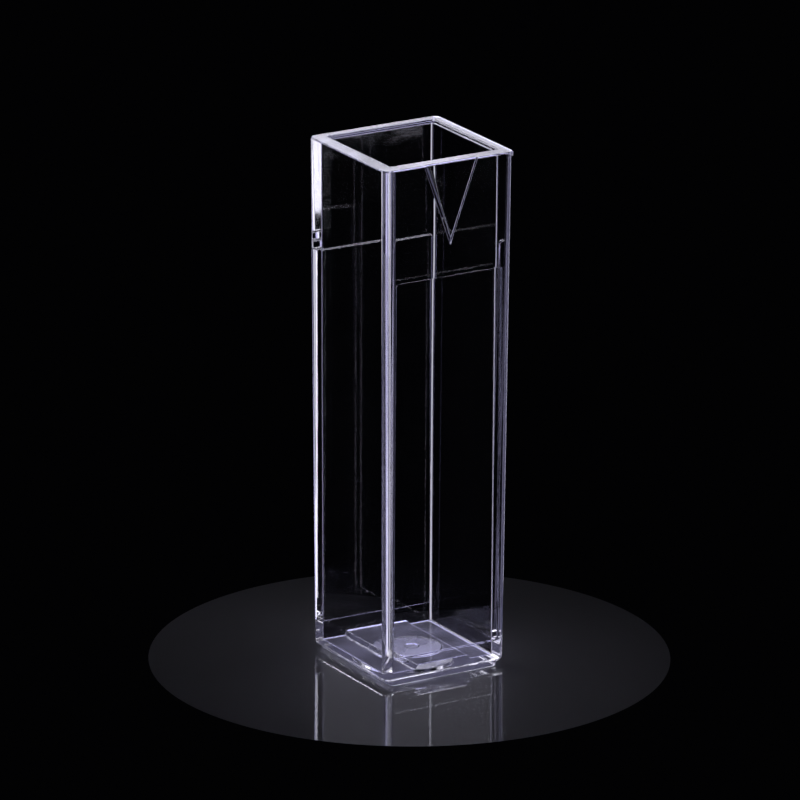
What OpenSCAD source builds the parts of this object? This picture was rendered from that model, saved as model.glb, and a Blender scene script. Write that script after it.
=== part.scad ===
// Square measuring cuvette, injection moulded in one piece.
// Millimetres. The origin is the middle of the underside and +Z runs up to the open rim.
// Light crosses the cuvette along Y, through the two recessed windows.

/* [Body] */
// Height from the bench to the rim
height = 45; // [30:0.5:60]
// Light path: inner distance between the two window walls
path_len = 10; // [8:0.1:20]
// Inner distance between the two side walls at the rim
inner_w = 10; // [8:0.1:20]
// Thickness of the four walls at the rim
wall_t = 1.25; // [1:0.05:2]
// How far each outer face leans in between the rim and the base
draft = 0.3; // [0.05:0.05:0.4]
// Radius of the four upright outer corners
corner_r = 0.55; // [0.4:0.05:0.9]
// Radius of the outer edge round the base
base_edge_r = 0.35; // [0.2:0.05:0.38]

/* [Rim] */
// Height of the straight band at the rim, above the parting line
rim_band_h = 0.4; // [0.3:0.05:1]
// Overhang that the parting line leaves on the +X side of the rim
rim_lip = 0.2; // [0.05:0.05:0.3]
// Radius of the outer edge of the rim
rim_edge_r = 0.12; // [0.05:0.01:0.2]
// Width of the narrow ledge inside the rim, on the +X and +Y sides
ledge_w = 0.4; // [0.2:0.05:0.6]
// Height of the rim above that ledge
ledge_h = 0.18; // [0.1:0.02:0.3]

/* [Cavity] */
// How far each inner side face leans in between the rim and the floor
side_draft = 0.1; // [0:0.02:0.2]
// Radius of the four upright inner corners
inner_corner_r = 0.15; // [0.15:0.05:1.4]
// Radius between the inner walls and the floor
floor_edge_r = 0.1; // [0.06:0.02:0.12]
// Thickness of the floor above the foot
floor_t = 0.5; // [0.4:0.05:1.5]

/* [Floor] */
// Width of the raised band that crosses the floor from window to window
band_w = 4.8; // [3:0.1:8]
// Height of the raised band above the floor
band_h = 0.35; // [0.1:0.05:0.8]
// Run of the sloped edge on each side of the raised band
band_slope = 0.3; // [0.05:0.05:0.6]

/* [Foot] */
// Height of the foot below the walls
foot_h = 0.45; // [0.3:0.05:0.6]
// Setback of the foot behind the side faces
foot_inset = 0.65; // [0.4:0.05:2]
// Setback of the foot behind the window faces
foot_setback = 0.1; // [0.02:0.02:0.3]
// Radius of the lower edge of the foot
foot_edge_r = 0.15; // [0.05:0.05:0.25]
// Diameter of the gate well in the underside
gate_d = 5.1; // [3:0.1:7]
// Depth of the gate well
gate_depth = 0.3; // [0.1:0.05:0.5]
// Diameter of the gate mark left in the well
gate_mark_d = 1.2; // [0.6:0.1:2]
// Height of the gate mark, which stays inside the well
gate_mark_h = 0.15; // [0.05:0.05:0.25]

/* [Windows] */
// Upright margin left between each side of a window and the side of the rim
window_margin = 1.15; // [1:0.05:2.5]
// Height of the lower ledge of the windows above the bench
window_bottom = 2.35; // [1.5:0.05:6]
// Distance from the tip of the pointing mark down to the upper ledge of the windows
window_gap = 2.65; // [1:0.05:8]
// Depth of the windows at their lower ledge
window_depth = 0.12; // [0.05:0.01:0.3]
// Radius of the windows' corners
window_corner_r = 0.3; // [0.2:0.1:1.5]

/* [Mark] */
// Width of the pointing mark where it meets the rim
mark_w = 5.2; // [3:0.1:8]
// Height of the pointing mark, from the rim down to its tip
mark_h = 7.15; // [4:0.05:8]
// Depth of the pointing mark
mark_depth = 0.26; // [0.05:0.01:0.4]
// Width of the sloped sides of the pointing mark
mark_slope = 0.05; // [0.05:0.05:0.6]

/* [Hidden] */
corner_fn = 32;
edge_step = 30;
cone_h = 0.05;
band_root = 0.2;
cut = 0.5;
rim_w = inner_w + 2 * wall_t;
rim_d = path_len + 2 * wall_t;
body_w = rim_w - rim_lip;
body_x = -rim_lip / 2;
base_w = body_w - 2 * draft;
base_d = rim_d - 2 * draft;
foot_w = base_w - 2 * foot_inset;
foot_d = base_d - 2 * foot_setback;
parting_z = height - rim_band_h;
floor_z = foot_h + floor_t;
window_w = rim_w - 2 * window_margin;
window_top = height - mark_h - window_gap;
lean = draft / (parting_z - foot_h - base_edge_r);
window_y = rim_d / 2 - lean * (parting_z - window_bottom) - window_depth;
mark_angle = atan(mark_w / 2 / mark_h);

// Rounded rectangle at height z: its corners are four cones that point up, or down, into the solid
module ring(w, d, r, z, up = 1) {
    for (sx = [-1, 1], sy = [-1, 1])
        translate([sx * (w / 2 - r), sy * (d / 2 - r), z])
            rotate([up > 0 ? 0 : 180, 0, 0])
                cylinder(r1 = r, r2 = r / 2, h = cone_h, $fn = corner_fn);
}

// Rings that round an edge of radius e whose flat side lies at height z
module edge_rings(w, d, r, e, z, up = 1) {
    for (a = [0 : edge_step : 90])
        let (inset = e * (1 - sin(a)))
            ring(w - 2 * inset, d - 2 * inset, r - inset, z + up * e * (1 - cos(a)), up);
}

// Drafted walls as one solid block, up to the parting line
module wall_block() {
    translate([body_x, 0, 0])
        hull() {
            ring(body_w, rim_d, corner_r, parting_z, -1);
            edge_rings(base_w, base_d, corner_r, base_edge_r, foot_h);
        }
}

// Straight band above the parting line, with its outer edge rounded
module rim_band() {
    hull() {
        ring(rim_w, rim_d, corner_r, parting_z);
        edge_rings(rim_w, rim_d, corner_r, rim_edge_r, height, -1);
    }
}

// Low foot that the cuvette stands on, nearly flush with the window faces
module foot() {
    translate([body_x, 0, 0])
        hull() {
            ring(foot_w, foot_d, corner_r, foot_h + base_edge_r, -1);
            edge_rings(foot_w, foot_d, corner_r, foot_edge_r, 0);
        }
}

// Space for the sample, open at the rim, with the ledge round two sides of its mouth
module cavity() {
    hull() {
        ring(inner_w, path_len, inner_corner_r, height + cut, -1);
        edge_rings(inner_w - 2 * side_draft, path_len, inner_corner_r, floor_edge_r, floor_z);
    }
    translate([ledge_w / 2, ledge_w / 2, 0])
        hull() {
            ring(inner_w + ledge_w, path_len + ledge_w, inner_corner_r, height - ledge_h);
            ring(inner_w + ledge_w, path_len + ledge_w, inner_corner_r, height + cut, -1);
        }
}

// Raised band across the floor, which runs into both window walls
module floor_band() {
    half = band_w / 2 + band_slope;
    rotate([90, 0, 0])
        linear_extrude(path_len + band_root, center = true)
            polygon([[-half, floor_z - band_root], [-half, floor_z],
                     [-band_w / 2, floor_z + band_h], [band_w / 2, floor_z + band_h],
                     [half, floor_z], [half, floor_z - band_root]]);
}

// One window, cut square to the light path so that both stay parallel
module window() {
    w = window_w / 2 - window_corner_r;
    translate([0, window_y, 0])
        rotate([-90, 0, 0])
            linear_extrude(wall_t)
                for (sx = [-1, 1], z = [window_bottom + window_corner_r, window_top - window_corner_r]) {
                    translate([sx * w, -z]) circle(r = window_corner_r, $fn = corner_fn);
                    translate([-w, -window_top]) square([2 * w, window_top - window_bottom]);
                    translate([-window_w / 2, -window_top + window_corner_r])
                        square([window_w, window_top - window_bottom - 2 * window_corner_r]);
                }
}

// Triangle that points down, with its top edge above the rim
module triangle(w, h) {
    rise = (h + cut) / h;
    polygon([[0, -h], [w / 2 * rise, cut], [-w / 2 * rise, cut]]);
}

// Pointing mark: a shallow triangle with sloped sides, open at the rim
module pointing_mark() {
    inner_h = mark_h - mark_slope / sin(mark_angle);
    translate([0, -rim_d / 2, height])
        hull() {
            rotate([90, 0, 0]) linear_extrude(cut) triangle(mark_w, mark_h);
            translate([0, mark_depth, 0]) rotate([90, 0, 0])
                linear_extrude(cone_h) triangle(mark_w * inner_h / mark_h, inner_h);
        }
}

// Round well in the underside, with the gate mark left inside it
module gate_well() {
    difference() {
        translate([0, 0, -cut]) cylinder(d = gate_d, h = gate_depth + cut, $fn = 64);
        translate([0, 0, gate_depth - gate_mark_h]) cylinder(d = gate_mark_d, h = height, $fn = 32);
    }
}

module cuvette() {
    color([0.9, 0.9, 0.98, 0.35])
        difference() {
            union() {
                difference() {
                    union() {
                        wall_block();
                        rim_band();
                        foot();
                    }
                    cavity();
                }
                floor_band();
            }
            window();
            mirror([0, 1, 0]) window();
            pointing_mark();
            gate_well();
        }
}

cuvette();
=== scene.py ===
import math

import bmesh
import bpy
import numpy as np
from mathutils import Matrix, Vector


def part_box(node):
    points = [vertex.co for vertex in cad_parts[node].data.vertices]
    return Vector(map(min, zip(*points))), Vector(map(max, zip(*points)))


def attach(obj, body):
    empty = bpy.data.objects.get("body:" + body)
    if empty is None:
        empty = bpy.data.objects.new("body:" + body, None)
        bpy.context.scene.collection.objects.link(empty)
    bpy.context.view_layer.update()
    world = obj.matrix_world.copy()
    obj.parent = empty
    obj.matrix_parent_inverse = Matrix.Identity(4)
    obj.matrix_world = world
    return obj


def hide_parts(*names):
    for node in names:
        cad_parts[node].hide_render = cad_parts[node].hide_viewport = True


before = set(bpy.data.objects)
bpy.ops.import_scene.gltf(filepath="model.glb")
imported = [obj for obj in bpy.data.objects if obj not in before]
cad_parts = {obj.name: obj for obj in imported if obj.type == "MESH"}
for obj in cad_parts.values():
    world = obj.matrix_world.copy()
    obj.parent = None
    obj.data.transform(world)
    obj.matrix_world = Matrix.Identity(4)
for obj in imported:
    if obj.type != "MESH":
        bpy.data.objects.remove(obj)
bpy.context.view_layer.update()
scene = bpy.context.scene
mm = 0.001


def bearing(compass, rise):
    # direction from a compass angle, +Y towards +X, and a height angle, in degrees
    a, e = math.radians(compass), math.radians(rise)
    return Vector((math.sin(a) * math.cos(e), math.cos(a) * math.cos(e), math.sin(e)))


# camera: long lens, fitted to the corners of the cuvette in the photo
camera = {
    "lens": 388.0,         # mm
    "sensor": 36,          # mm
    "distance": 720,       # mm from the target
    "target": (-0.758, 0.453, 22.69),
    "turn": 30.9,          # degrees, view direction from +Y towards +X
    "tilt": 17.95,         # degrees downwards
    "roll": 0.24,          # degrees
    "clipStart": 0.05,     # m
    "clipEnd": 5,          # m
}


def makeCamera(c):
    turn, roll = math.radians(c["turn"]), math.radians(c["roll"])
    ahead = bearing(c["turn"], -c["tilt"])
    right = Vector((math.cos(turn), -math.sin(turn), 0))
    up = right.cross(ahead)
    rightRolled = right * math.cos(roll) + up * math.sin(roll)
    upRolled = up * math.cos(roll) - right * math.sin(roll)
    data = bpy.data.cameras.new("productLens")
    data.lens = c["lens"]
    data.sensor_width = c["sensor"]
    data.clip_start = c["clipStart"]
    data.clip_end = c["clipEnd"]
    cam = bpy.data.objects.new("productCamera", data)
    scene.collection.objects.link(cam)
    spot = (Vector(c["target"]) - ahead * c["distance"]) * mm
    turned = Matrix((rightRolled, upRolled, -ahead)).transposed()
    cam.matrix_world = Matrix.Translation(spot) @ turned.to_4x4()
    scene.camera = cam


makeCamera(camera)
print("camera placed")


# the moulding, all in millimetres; overall sizes come from the frame
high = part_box("cuvette")[1]
cell = {
    "height": high.z / mm,
    "rimX": high.x / mm,            # half width of the rim
    "rimY": high.y / mm,
    "draft": 0.3,                   # lean of each outer face, rim to base
    "cornerR": 0.55,
    "baseEdgeR": 0.35,
    "rimBandH": 0.4,
    "rimLip": 0.2,                  # overhang on the +X side
    "rimEdgeR": 0.12,
    "ledgeW": 0.4,                  # narrow ledge inside the rim, on the +X and +Y sides
    "ledgeH": 0.18,
    "wallT": 1.25,
    "sideDraft": 0.1,
    "innerCornerR": 0.15,
    "floorEdgeR": 0.1,
    "floorT": 0.5,
    "bandHalf": 2.4,                # raised band across the floor
    "bandH": 0.35,
    "bandSlope": 0.3,
    "footH": 0.45,
    "footInset": 0.65,
    "footSetback": 0.1,
    "footEdgeR": 0.15,
    "gateR": 2.55,
    "gateDepth": 0.3,
    "gateMarkR": 0.6,
    "gateMarkH": 0.15,
    "windowMargin": 1.15,
    "windowBottom": 2.35,
    "windowGap": 2.65,
    "windowDepth": 0.12,
    "windowR": 0.3,
    "windowEdge": 0.07,             # run of the window's sloped edge
    "markHalf": 2.6,
    "markH": 7.15,
    "markDepth": 0.15,
    "markSlope": 0.05,              # the mark's right side is nearly upright
    "markSoftSlope": 0.4,           # and its left side slopes gently
    # spacing of the mesh lines
    "fine": 0.02,                   # right beside an edge
    "soft": 0.03,                   # on a small softened edge
    "near": 0.04,                   # past the rounded lower edge
    "beside": 0.05,                 # past a rounded corner
    "close": 0.06,                  # next out from an edge
    "crease": 0.08,                 # beside an inner corner
    "open": 0.2,                    # on the plain floor
    "plain": 0.3,                   # on the plain wall beside the window's corner
    "markFields": [2.9, 3.4, 3.9],  # columns between the mark and the window's corner
    "markIn": 0.1,                  # the mark's own lines reach this far in, and below its tip
    "markZone": 0.11,               # lines this near to its side lean with it
    "tipGap": 0.005,                # left between the inner lines at its tip
    "underParting": 0.15,
    "overTip": (1.0, 0.8),
    "overWindow": 0.6,
    "inWindow": 3.0,
    "underWindow": 0.4,
    "overFloor": 1.0,
    "underMouth": 0.15,
    "underLedge": 0.1,
    "arcSteps": 9,                  # points inside each upright corner
    "sideSteps": 13,                # points along each plain side
    "rimSteps": 5,                  # steps round the rim's outer edge
    "wellLead": 4,                  # rings of the gate well before its frosted ones
    "tiny": 0.001,
}
cell["parting"] = cell["height"] - cell["rimBandH"]
cell["floorZ"] = cell["footH"] + cell["floorT"]
cell["lean"] = cell["draft"] / (cell["parting"] - cell["footH"] - cell["baseEdgeR"])
cell["windowX"] = cell["rimX"] - cell["windowMargin"]
cell["windowTop"] = cell["height"] - cell["markH"] - cell["windowGap"]
cell["windowLean"] = cell["lean"] * (cell["parting"] - cell["windowBottom"])
cell["windowY"] = cell["rimY"] - cell["windowLean"] - cell["windowDepth"]
cell["markAngle"] = math.atan(cell["markHalf"] / cell["markH"])


def spread(a, b, steps):
    return [a + (b - a) * i / steps for i in range(steps + 1)]


def ease(t):
    t = min(max(t, 0.0), 1.0)
    return t * t * (3 - 2 * t)


def mirrored(half):
    return [-x for x in reversed(half)] + [0.0] + half


def roundedEdge(r, steps, end=math.pi / 2):
    # the two distances left to the faces, for each point round an edge
    return [(r * (1 - math.cos(a)), r * (1 - math.sin(a))) for a in spread(0, end, steps)]


def wallColumns(c):
    # where the upright lines of the front and back walls stand, close together at each edge
    mark, edge = c["markHalf"], c["windowX"]
    corner, slope = edge - c["windowR"], edge - c["windowEdge"]
    first = mark / 9
    half = spread(first, mark - first, 7)
    half += spread(mark - c["markIn"], mark + c["close"], 8)
    half += c["markFields"] + [corner - c["plain"]]
    half += spread(corner - c["beside"], slope - c["close"], 5)
    half += spread(slope - c["fine"], edge + c["soft"], 8)
    return mirrored(half)


def markColumn(x, z, c):
    # over the height of the mark its own lines lean in with its sides and meet at its tip
    above = z - c["height"] + c["markH"]
    if above < -c["markIn"]:
        return x
    mark, edge = c["markHalf"], c["windowX"] - c["windowR"] - c["plain"]
    zone, close = c["markZone"], c["close"]
    here = max(above, 0) * math.tan(c["markAngle"])
    size = abs(x)
    if size <= mark - zone:
        size *= max(here - zone, c["tipGap"]) / (mark - zone)
    elif size < mark + zone:
        size += max(here, zone + c["tipGap"]) - mark
    elif size < edge:
        size = here + close + (size - mark - close) * (edge - here - close) / (edge - mark - close)
    return math.copysign(size, x)


def floorColumns(c):
    # the same count of lines inside, close together at the edges of the raised band
    count = len(wallColumns(c)) // 2
    edge, end = c["bandHalf"], c["rimX"] - c["wallT"] - c["innerCornerR"]
    close = spread(edge - c["close"], edge + c["bandSlope"] + c["close"], 15)
    after = spread(close[-1] + c["open"], end - c["open"], 4)
    rest = count - len(close) - len(after)
    half = spread(close[0] / rest, close[0] - c["beside"], rest - 1) + close + after
    return mirrored(half)


def outline(x0, x1, y0, y1, r, cols, c):
    # one closed ring as (x, y, normalX, normalY), anticlockwise from the front wall's left end
    left, right, front, back = x0 + r, x1 - r, y0 + r, y1 - r
    steps = c["arcSteps"] + 1
    arc = [math.radians(90 * k / steps) for k in range(1, steps)]
    turn = [(math.sin(a), math.cos(a)) for a in arc]
    xs = [left] + cols + [right]
    ys = spread(front, back, c["sideSteps"] - 1)
    pts = [(x, y0, 0, -1) for x in xs]
    pts += [(right + r * s, front - r * t, s, -t) for s, t in turn]
    pts += [(x1, y, 1, 0) for y in ys]
    pts += [(right + r * t, back + r * s, t, s) for s, t in turn]
    pts += [(x, y1, 0, 1) for x in reversed(xs)]
    pts += [(left - r * s, back + r * t, -s, t) for s, t in turn]
    pts += [(x0, y, -1, 0) for y in reversed(ys)]
    pts += [(left - r * t, front - r * s, -t, -s) for s, t in turn]
    return pts


def wallEnds(z, c):
    # left, right and front reach of the drafted outer walls at height z
    out = c["lean"] * max(c["parting"] - z, 0)
    lip = c["rimLip"] if z < c["parting"] - c["tiny"] else 0
    return -c["rimX"] + out, c["rimX"] - lip - out, c["rimY"] - out


def windowRecess(x, z, y, c):
    # how far the window's face lies behind the wall's, with a short sloped ledge round it
    r = c["windowR"]
    midZ = (c["windowTop"] + c["windowBottom"]) / 2
    halfZ = (c["windowTop"] - c["windowBottom"]) / 2
    qx, qz = abs(x) - c["windowX"] + r, abs(z - midZ) - halfZ + r
    inside = r - math.hypot(max(qx, 0), max(qz, 0)) - min(max(qx, qz), 0)
    return (y - c["windowY"]) * ease(inside / c["windowEdge"])


def markRecess(x, z, c):
    # shallow triangle, open at the rim, gentle on its left side and crisp on its right
    halfHere = (z - c["height"] + c["markH"]) * math.tan(c["markAngle"])
    fromLeft = (halfHere + x) * math.cos(c["markAngle"])
    fromRight = (halfHere - x) * math.cos(c["markAngle"])
    return c["markDepth"] * ease(fromLeft / c["markSoftSlope"]) * ease(fromRight / c["markSlope"])


def bandRise(x, c):
    return c["bandH"] * ease((c["bandHalf"] + c["bandSlope"] - abs(x)) / c["bandSlope"])


def wallRows(c):
    # heights of the level lines on the outer walls, from the rim down
    fine, soft, beside, close = c["fine"], c["soft"], c["beside"], c["close"]
    parting, tip = c["parting"], c["height"] - c["markH"]
    rows = spread(c["height"] - c["rimEdgeR"] - soft, parting + soft, 2)
    rows += [parting - fine, parting - close]
    rows += spread(parting - c["underParting"], tip + c["overTip"][0], 10)
    rows += spread(tip + c["overTip"][1], tip + close, 8)
    rows += [tip + soft, tip - fine]
    top, bottom = c["windowTop"], c["windowBottom"]
    slope, corner = c["windowEdge"], c["windowR"]
    rows += [top + c["overWindow"], top + close]
    rows += spread(top + fine, top - slope - fine, 9)
    rows += spread(top - slope - close, top - corner - beside, 16)
    rows += spread(top - c["inWindow"], bottom + c["inWindow"], 6)
    rows += spread(bottom + corner + beside, bottom + slope + close, 16)
    rows += spread(bottom + slope + fine, bottom - fine, 9)
    rows += [bottom - close]
    rows += spread(bottom - c["underWindow"], c["footH"] + c["baseEdgeR"] + c["near"], 2)
    return rows


def outerRing(z, inset, c, cols):
    x0, x1, y1 = wallEnds(z, c)
    r = c["cornerR"] - inset
    ring = []
    for x, y, nx, ny in outline(x0 + inset, x1 - inset, inset - y1, y1 - inset, r, cols, c):
        depth = 0
        if abs(ny) == 1:
            depth = windowRecess(x, z, y1, c)
            if ny < 0:
                x = markColumn(x, z, c)
                depth += markRecess(x, z, c)
        ring.append(Vector((x, y - ny * depth, z)))
    return ring


def innerRing(z, inset, c, cols, onFloor=False, out=0):
    # ring on the cavity's wall; inset shrinks it and out widens it towards +X and +Y only
    down = (c["height"] - z) / (c["height"] - c["floorZ"])
    half = c["rimX"] - c["wallT"] - c["sideDraft"] * down - inset
    deep = c["rimY"] - c["wallT"] - inset
    r = c["innerCornerR"] - inset
    ring = []
    for point in outline(-half, half + out, -deep, deep + out, r, cols, c):
        x, y = point[:2]
        rise = bandRise(x, c) if onFloor else 0
        ring.append(Vector((x, y, z + rise)))
    return ring


def footRings(c, cols):
    # from the lower edge of the walls, under them and down the foot to its lower edge;
    # the plain sides and the window sides each have their own path of as many points
    z0, big, crease = c["footH"], c["baseEdgeR"], c["crease"]
    back, side = c["footSetback"], c["footInset"]
    pathX = [(inset, z0 + up) for inset, up in roundedEdge(big, 6)]
    pathX += [(side - crease, z0), (side - c["fine"], z0 - c["fine"]), (side, z0 - crease)]
    pathY = [(inset, z0 + up) for inset, up in roundedEdge(big, 4, math.acos(1 - back / big))]
    pathY += [(back, z) for z in spread(pathY[-1][1] - c["near"], z0 - crease, 4)]
    edge = roundedEdge(c["footEdgeR"], 5)
    pathX += [(side + inset, z) for inset, z in edge]
    pathY += [(back + inset, z) for inset, z in edge]
    x0, x1, y1 = wallEnds(z0 + big, c)
    mid = (x0 + x1) / 2
    rings = []
    for (ix, zx), (iy, zy) in zip(pathX, pathY):
        r = c["cornerR"] - 0.5 * min(ix, c["cornerR"] * 0.8)
        squeeze = (x1 - x0 - 2 * ix - 2 * r) / (x1 - x0 - 2 * c["cornerR"])
        here = [mid + (x - mid) * min(squeeze, 1) for x in cols]
        ring = []
        for x, y, nx, ny in outline(x0 + ix, x1 - ix, iy - y1, y1 - iy, r, here, c):
            ring.append(Vector((x, y, zy + (zx - zy) * nx * nx)))
        rings.append(ring)
    return rings


def gateRings(c, foot):
    # round well under the floor, with the gate mark standing inside it
    fine, soft, close, crease = c["fine"], c["soft"], c["close"], c["crease"]
    r, deep = c["gateR"], c["gateDepth"]
    stub, top = c["gateMarkR"], c["gateDepth"] - c["gateMarkH"]
    path = [(r + 2 * close, 0), (r + close, 0), (r + fine, fine), (r, close)]
    path += [(r, deep - crease), (r - soft, deep - fine), (r - 3 * soft, deep)]
    path += [(stub + crease, deep), (stub + fine, deep - fine), (stub, deep - close)]
    path += [(stub - fine, top + fine), (stub - crease, top), (stub / 3, top)]
    spokes = [Vector((p.x, p.y)).normalized() for p in foot]
    return [[Vector((s.x * radius, s.y * radius, z)) for s in spokes] for radius, z in path]


def mouthRings(c, cols, inner):
    # up the inside to the narrow ledge, over the flat rim and round its outer edge
    h, w, soft = c["height"], c["ledgeW"], c["soft"]
    low = h - c["ledgeH"]
    steps = [(0, 0, low - c["underLedge"]), (0, 0, low - soft), (-soft, 0, low)]
    steps += [(-soft, w - 2 * soft, low), (-soft, w - soft, low + soft)]
    steps += [(-soft, w - soft, h - soft), (-2 * soft, w - soft, h)]
    rings = [innerRing(z, inset, c, inner, out=out) for inset, out, z in steps]
    for inset, drop in reversed(roundedEdge(c["rimEdgeR"], c["rimSteps"])):
        rings.append(outerRing(h - drop, inset, c, cols))
    return rings


# material slots of the moulding
polishedSlot, satinSlot, frostedSlot = range(3)


def buildCuvette(c):
    # rings of points from the cavity's floor up, over the rim, down outside and under the foot
    cols, inner = wallColumns(c), floorColumns(c)
    rings = []
    for rise, inset in roundedEdge(c["floorEdgeR"], 6):
        rings.append(innerRing(c["floorZ"] + rise, inset, c, inner, True))
    mouth = c["height"] - c["ledgeH"] - c["underMouth"]
    rings += [innerRing(z, 0, c, inner) for z in spread(c["floorZ"] + c["overFloor"], mouth, 12)]
    rings += mouthRings(c, cols, inner)
    rimTop = len(rings) - c["rimSteps"] - 2
    rings += [outerRing(z, 0, c, cols) for z in wallRows(c)]
    foot = len(rings)
    rings += footRings(c, cols)
    gate = len(rings) + c["wellLead"]
    rings += gateRings(c, rings[-1])

    bm = bmesh.new()
    verts = [[bm.verts.new(p * mm) for p in ring] for ring in rings]
    count = len(verts[0])
    for k, (a, b) in enumerate(zip(verts, verts[1:])):
        finish = polishedSlot
        if k >= gate:
            finish = frostedSlot
        elif k >= foot or k == rimTop:
            finish = satinSlot
        for i in range(count):
            j = (i + 1) % count
            bm.faces.new((a[j], a[i], b[i], b[j])).material_index = finish
    bm.faces.new(reversed(verts[-1])).material_index = frostedSlot
    layFloor(bm, verts[0], c, len(cols) + 2)
    bm.normal_update()
    return bm


def layFloor(bm, ring, c, wide):
    # the cavity's floor as columns that run from the front wall to the back wall
    arc, side = c["arcSteps"], c["sideSteps"]
    starts = [0]
    for n in (wide, arc, side, arc, wide, arc, side):
        starts.append(starts[-1] + n)
    take = [ring[a:b] for a, b in zip(starts, starts[1:] + [len(ring)])]
    front, frontRight, right, rightBack, back, backLeft, left, leftFront = take
    ends = list(zip(leftFront, reversed(backLeft))) + list(zip(front, reversed(back)))
    ends += list(zip(frontRight, reversed(rightBack)))
    columns = [list(reversed(left))]
    for a, b in ends:
        line = [a]
        for k in range(1, side - 1):
            line.append(bm.verts.new(a.co.lerp(b.co, k / (side - 1))))
        columns.append(line + [b])
    columns.append(list(right))
    for a, b in zip(columns, columns[1:]):
        for k in range(side - 1):
            bm.faces.new((a[k], b[k], b[k + 1], a[k + 1]))


bm = buildCuvette(cell)
mesh = bpy.data.meshes.new("cuvetteMoulding")
bm.to_mesh(mesh)
bm.free()
mesh.shade_smooth()


def steadyNormals(me):
    # vertex normals weighted by the square of each face's area, so wide flats stay flat to their edges
    n, loops, verts = len(me.polygons), len(me.loops), len(me.vertices)
    normals, areas, counts = np.empty(n * 3), np.empty(n), np.empty(n, dtype=int)
    corners = np.empty(loops, dtype=int)
    me.polygons.foreach_get("normal", normals)
    me.polygons.foreach_get("area", areas)
    me.polygons.foreach_get("loop_total", counts)
    me.loops.foreach_get("vertex_index", corners)
    pull = normals.reshape(n, 3) * ((areas / areas.max()) ** 2)[:, None]
    total = np.zeros((verts, 3))
    np.add.at(total, corners, np.repeat(pull, counts, axis=0))
    shortest = 1e-30       # keeps the division safe
    total /= np.maximum(np.linalg.norm(total, axis=1), shortest)[:, None]
    me.normals_split_custom_set_from_vertices(total.tolist())


steadyNormals(mesh)
cuvette = bpy.data.objects.new("cuvette_moulding", mesh)
scene.collection.objects.link(cuvette)
print("moulding built:", len(mesh.polygons), "faces")


clear = {
    "tint": (0.985, 0.985, 1.0, 1),
    "ior": 1.59,
    "polish": (0.004, 0.03),               # roughness, from the best to the worst polished patches
    "wave": 0.035,                         # strength of the slow ripple left by the moulding
    "scratch": 0.03,
    "patchScale": 260,
    "patchDetail": 5,
    "patchRange": (0.35, 0.75),
    "waveScale": 420,
    "waveDetail": 1.5,
    "waveHeight": 0.00005,                 # m
    "scratchScale": 5200,
    "scratchDetail": 2,
    "scratchRange": (0.66, 0.72),
    "scratchTurn": (0.12, 0.2, 0),         # radians
    "scratchStretch": (1, 1, 0.05),
    "scratchHeight": 0.000004,             # m
}
satin = dict(clear, polish=(0.10, 0.22), wave=0.08, scratch=0.15)
frost = dict(clear, polish=(0.22, 0.38), wave=0.12, scratch=0.2)


def addNoise(nodes, scale, detail):
    noise = nodes.new("ShaderNodeTexNoise")
    noise.inputs["Scale"].default_value = scale
    noise.inputs["Detail"].default_value = detail
    return noise


def addRange(nodes, low, high):
    grade = nodes.new("ShaderNodeMapRange")
    grade.inputs["From Min"].default_value = low
    grade.inputs["From Max"].default_value = high
    return grade


def addBump(nodes, strength, height):
    bump = nodes.new("ShaderNodeBump")
    bump.inputs["Strength"].default_value = strength
    bump.inputs["Distance"].default_value = height
    return bump


def makePlastic(name, look):
    mat = bpy.data.materials.new(name)
    mat.use_nodes = True
    nodes, links = mat.node_tree.nodes, mat.node_tree.links
    shader = nodes["Principled BSDF"]
    shader.inputs["Base Color"].default_value = look["tint"]
    shader.inputs["IOR"].default_value = look["ior"]
    shader.inputs["Transmission Weight"].default_value = 1.0

    # patches that are polished better or worse
    place = nodes.new("ShaderNodeTexCoord")
    patches = addNoise(nodes, look["patchScale"], look["patchDetail"])
    grade = addRange(nodes, *look["patchRange"])
    grade.inputs["To Min"].default_value, grade.inputs["To Max"].default_value = look["polish"]
    links.new(place.outputs["Object"], patches.inputs["Vector"])
    links.new(patches.outputs["Fac"], grade.inputs["Value"])
    links.new(grade.outputs["Result"], shader.inputs["Roughness"])

    # slow ripple of the moulded faces
    ripple = addNoise(nodes, look["waveScale"], look["waveDetail"])
    wave = addBump(nodes, look["wave"], look["waveHeight"])
    links.new(place.outputs["Object"], ripple.inputs["Vector"])
    links.new(ripple.outputs["Fac"], wave.inputs["Height"])

    # fine handling marks, long and thin, mostly upright
    stretch = nodes.new("ShaderNodeMapping")
    stretch.inputs["Rotation"].default_value = look["scratchTurn"]
    stretch.inputs["Scale"].default_value = look["scratchStretch"]
    marks = addNoise(nodes, look["scratchScale"], look["scratchDetail"])
    thin = addRange(nodes, *look["scratchRange"])
    lines = addBump(nodes, look["scratch"], look["scratchHeight"])
    links.new(place.outputs["Object"], stretch.inputs["Vector"])
    links.new(stretch.outputs["Vector"], marks.inputs["Vector"])
    links.new(marks.outputs["Fac"], thin.inputs["Value"])
    links.new(thin.outputs["Result"], lines.inputs["Height"])
    links.new(wave.outputs["Normal"], lines.inputs["Normal"])
    links.new(lines.outputs["Normal"], shader.inputs["Normal"])
    return mat


# in the order of the material slots
mesh.materials.append(makePlastic("clearPolystyrene", clear))
mesh.materials.append(makePlastic("satinPolystyrene", satin))
mesh.materials.append(makePlastic("frostedGate", frost))
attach(cuvette, "root")
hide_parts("cuvette")
print("plastics applied")


floorLook = {
    "radius": 0.022,
    "segments": 128,
    "colour": (0.72, 0.72, 0.74, 1),
    "roughness": 0.6,
    "coat": 1.0,
    "coatIor": 2.2,
    "coatRoughness": 0.04,
}


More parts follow.
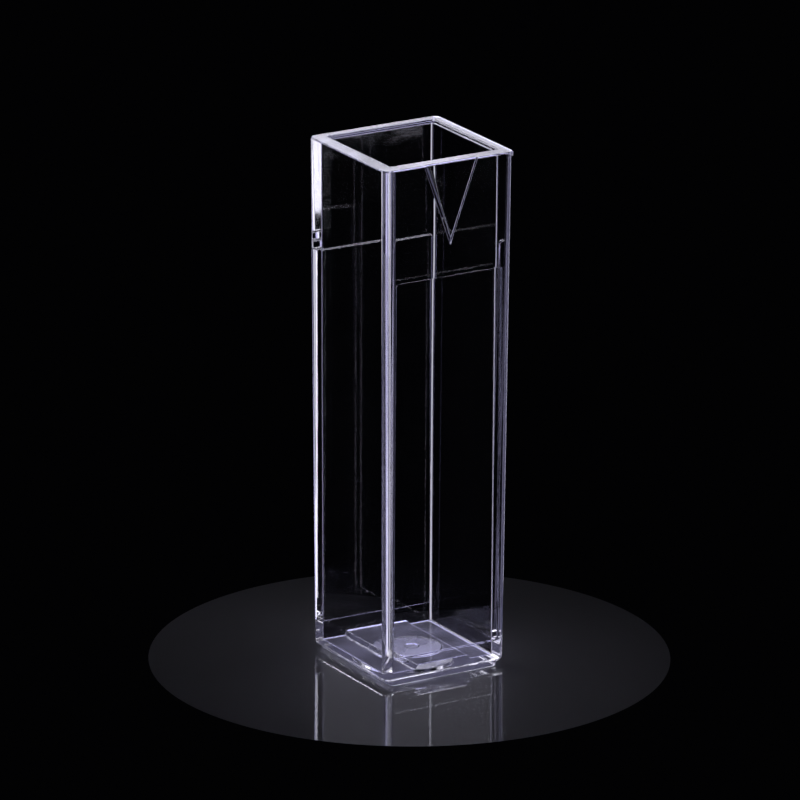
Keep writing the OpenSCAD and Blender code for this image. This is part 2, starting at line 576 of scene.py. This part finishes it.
def makeFloor(f):
    data = bpy.data.meshes.new("benchTop")
    bm = bmesh.new()
    bmesh.ops.create_circle(bm, cap_ends=True, segments=f["segments"], radius=f["radius"])
    bm.to_mesh(data)
    bm.free()
    floor = bpy.data.objects.new("benchTop", data)
    scene.collection.objects.link(floor)
    mat = bpy.data.materials.new("paleBench")
    mat.use_nodes = True
    shader = mat.node_tree.nodes["Principled BSDF"]
    shader.inputs["Base Color"].default_value = f["colour"]
    shader.inputs["Roughness"].default_value = f["roughness"]
    shader.inputs["Coat Weight"].default_value = f["coat"]
    shader.inputs["Coat IOR"].default_value = f["coatIor"]
    shader.inputs["Coat Roughness"].default_value = f["coatRoughness"]
    data.materials.append(mat)
    return floor


bench = makeFloor(floorLook)
# the bench hides no box from the clear base
bench.visible_transmission = False
bench.visible_shadow = False
print("floor laid")


# soft boxes stand round the cuvette: compass from +Y towards +X, height angle, width and height
# in degrees, brightness; they leave dark gaps straight behind and where the walls would mirror them
whiteBoxes = {
    "rightNear": (52, 0, 12, 50, 1.6),
    "rightBack": (40, 0, 8, 50, 0.7),
    "sideRight": (127, 0, 9, 50, 0.3),
    "frontRight": (141, 0, 6, 50, 0.5),
    "frontStrip": (149, -11.4, 1.8, 2.0, 1.5),
    "behindLow": (30, 5, 14, 9, 3.0),
    "frontLow": (150, 0, 14, 18, 2.6),
    "leftLow": (-30, 2, 14, 14, 2.5),
    "behindMiddle": (31, 18, 20, 10, 0.12),
    "behindHigh": (0, 33, 36, 14, 5.0),
    "sideHigh": (135, 45, 60, 20, 0.6),
    "above": (0, 65, 60, 30, 0.3),
}
coolBoxes = {
    "rightMiddle": (64, 0, 9, 50, 1.2),
    "rightFar": (74, 0, 8, 50, 1.2),
    "behindRight": (20, 0, 8, 50, 0.1),
    "behindLeft": (-16, 0, 24, 50, 0.22),
    "left": (-39, 0, 8, 50, 1.0),
    "frontLeft": (-163, -8, 24, 34, 0.3),
    "underBehind": (5, -32, 66, 10, 0.8),
    "under": (30, -50, 60, 22, 3.2),
}
whiteTint = (0.86, 0.85, 1.0)
coolTint = (0.62, 0.6, 1.0)
boxDistance = 0.5
aim = (0, 0, 0.022)

# the boxes light the cuvette only and leave the bench dark
onlyCuvette = bpy.data.collections.new("litByBoxes")
onlyCuvette.objects.link(cuvette)


def softBox(name, spec, tint, distance, centre):
    compass, rise, wide, tall, bright = spec
    data = bpy.data.lights.new(name, "AREA")
    data.shape = "RECTANGLE"
    data.size = 2 * distance * math.tan(math.radians(wide / 2))
    data.size_y = 2 * distance * math.tan(math.radians(tall / 2))
    data.energy = bright * math.pi * data.size * data.size_y
    data.color = tint
    lamp = bpy.data.objects.new(name, data)
    ahead = bearing(compass, rise)
    lamp.location = Vector(centre) + ahead * distance
    lamp.rotation_euler = (-ahead).to_track_quat("-Z", "Y").to_euler()
    lamp.visible_camera = False
    scene.collection.objects.link(lamp)
    lamp.light_linking.receiver_collection = onlyCuvette
    return lamp


for tint, boxes in ((whiteTint, whiteBoxes), (coolTint, coolBoxes)):
    for name, spec in boxes.items():
        softBox(name, spec, tint, boxDistance, aim)

# a small box close behind the rim, which the rim's flat top mirrors to the camera
rimBox = {
    "spec": (31, 17.5, 26, 10, 3),
    "distance": 0.08,
    "centre": (0, 0, 0.045),
}
rimLamp = softBox("rimBox", rimBox["spec"], whiteTint, rimBox["distance"], rimBox["centre"])
rimLamp.visible_transmission = False

# a faint pool of light on the bench
pool = {
    "energy": 0.36,
    "cone": 4.2,             # degrees
    "blend": 1,
    "softness": 0.03,
    "place": (0.0, 0.03, 0.5),
}
poolData = bpy.data.lights.new("benchPool", "SPOT")
poolData.energy = pool["energy"]
poolData.spot_size = math.radians(pool["cone"])
poolData.spot_blend = pool["blend"]
poolData.shadow_soft_size = pool["softness"]
poolLamp = bpy.data.objects.new("benchPool", poolData)
poolLamp.location = pool["place"]
poolLamp.rotation_euler = (-Vector(pool["place"])).to_track_quat("-Z", "Y").to_euler()
scene.collection.objects.link(poolLamp)
print("lamps placed")

room = {
    "glow": (0.0006, 0.0006, 0.0008, 1),
    "clearBounces": 32,      # enough for light that runs along inside the walls
    "shineBounces": 16,
}
world = bpy.data.worlds.new("darkRoom")
world.use_nodes = True
world.node_tree.nodes["Background"].inputs["Color"].default_value = room["glow"]
scene.world = world
scene.view_settings.view_transform = "Standard"
cycles = scene.cycles
cycles.max_bounces = room["clearBounces"]
cycles.transmission_bounces = room["clearBounces"]
cycles.glossy_bounces = room["shineBounces"]
cycles.use_denoising = True
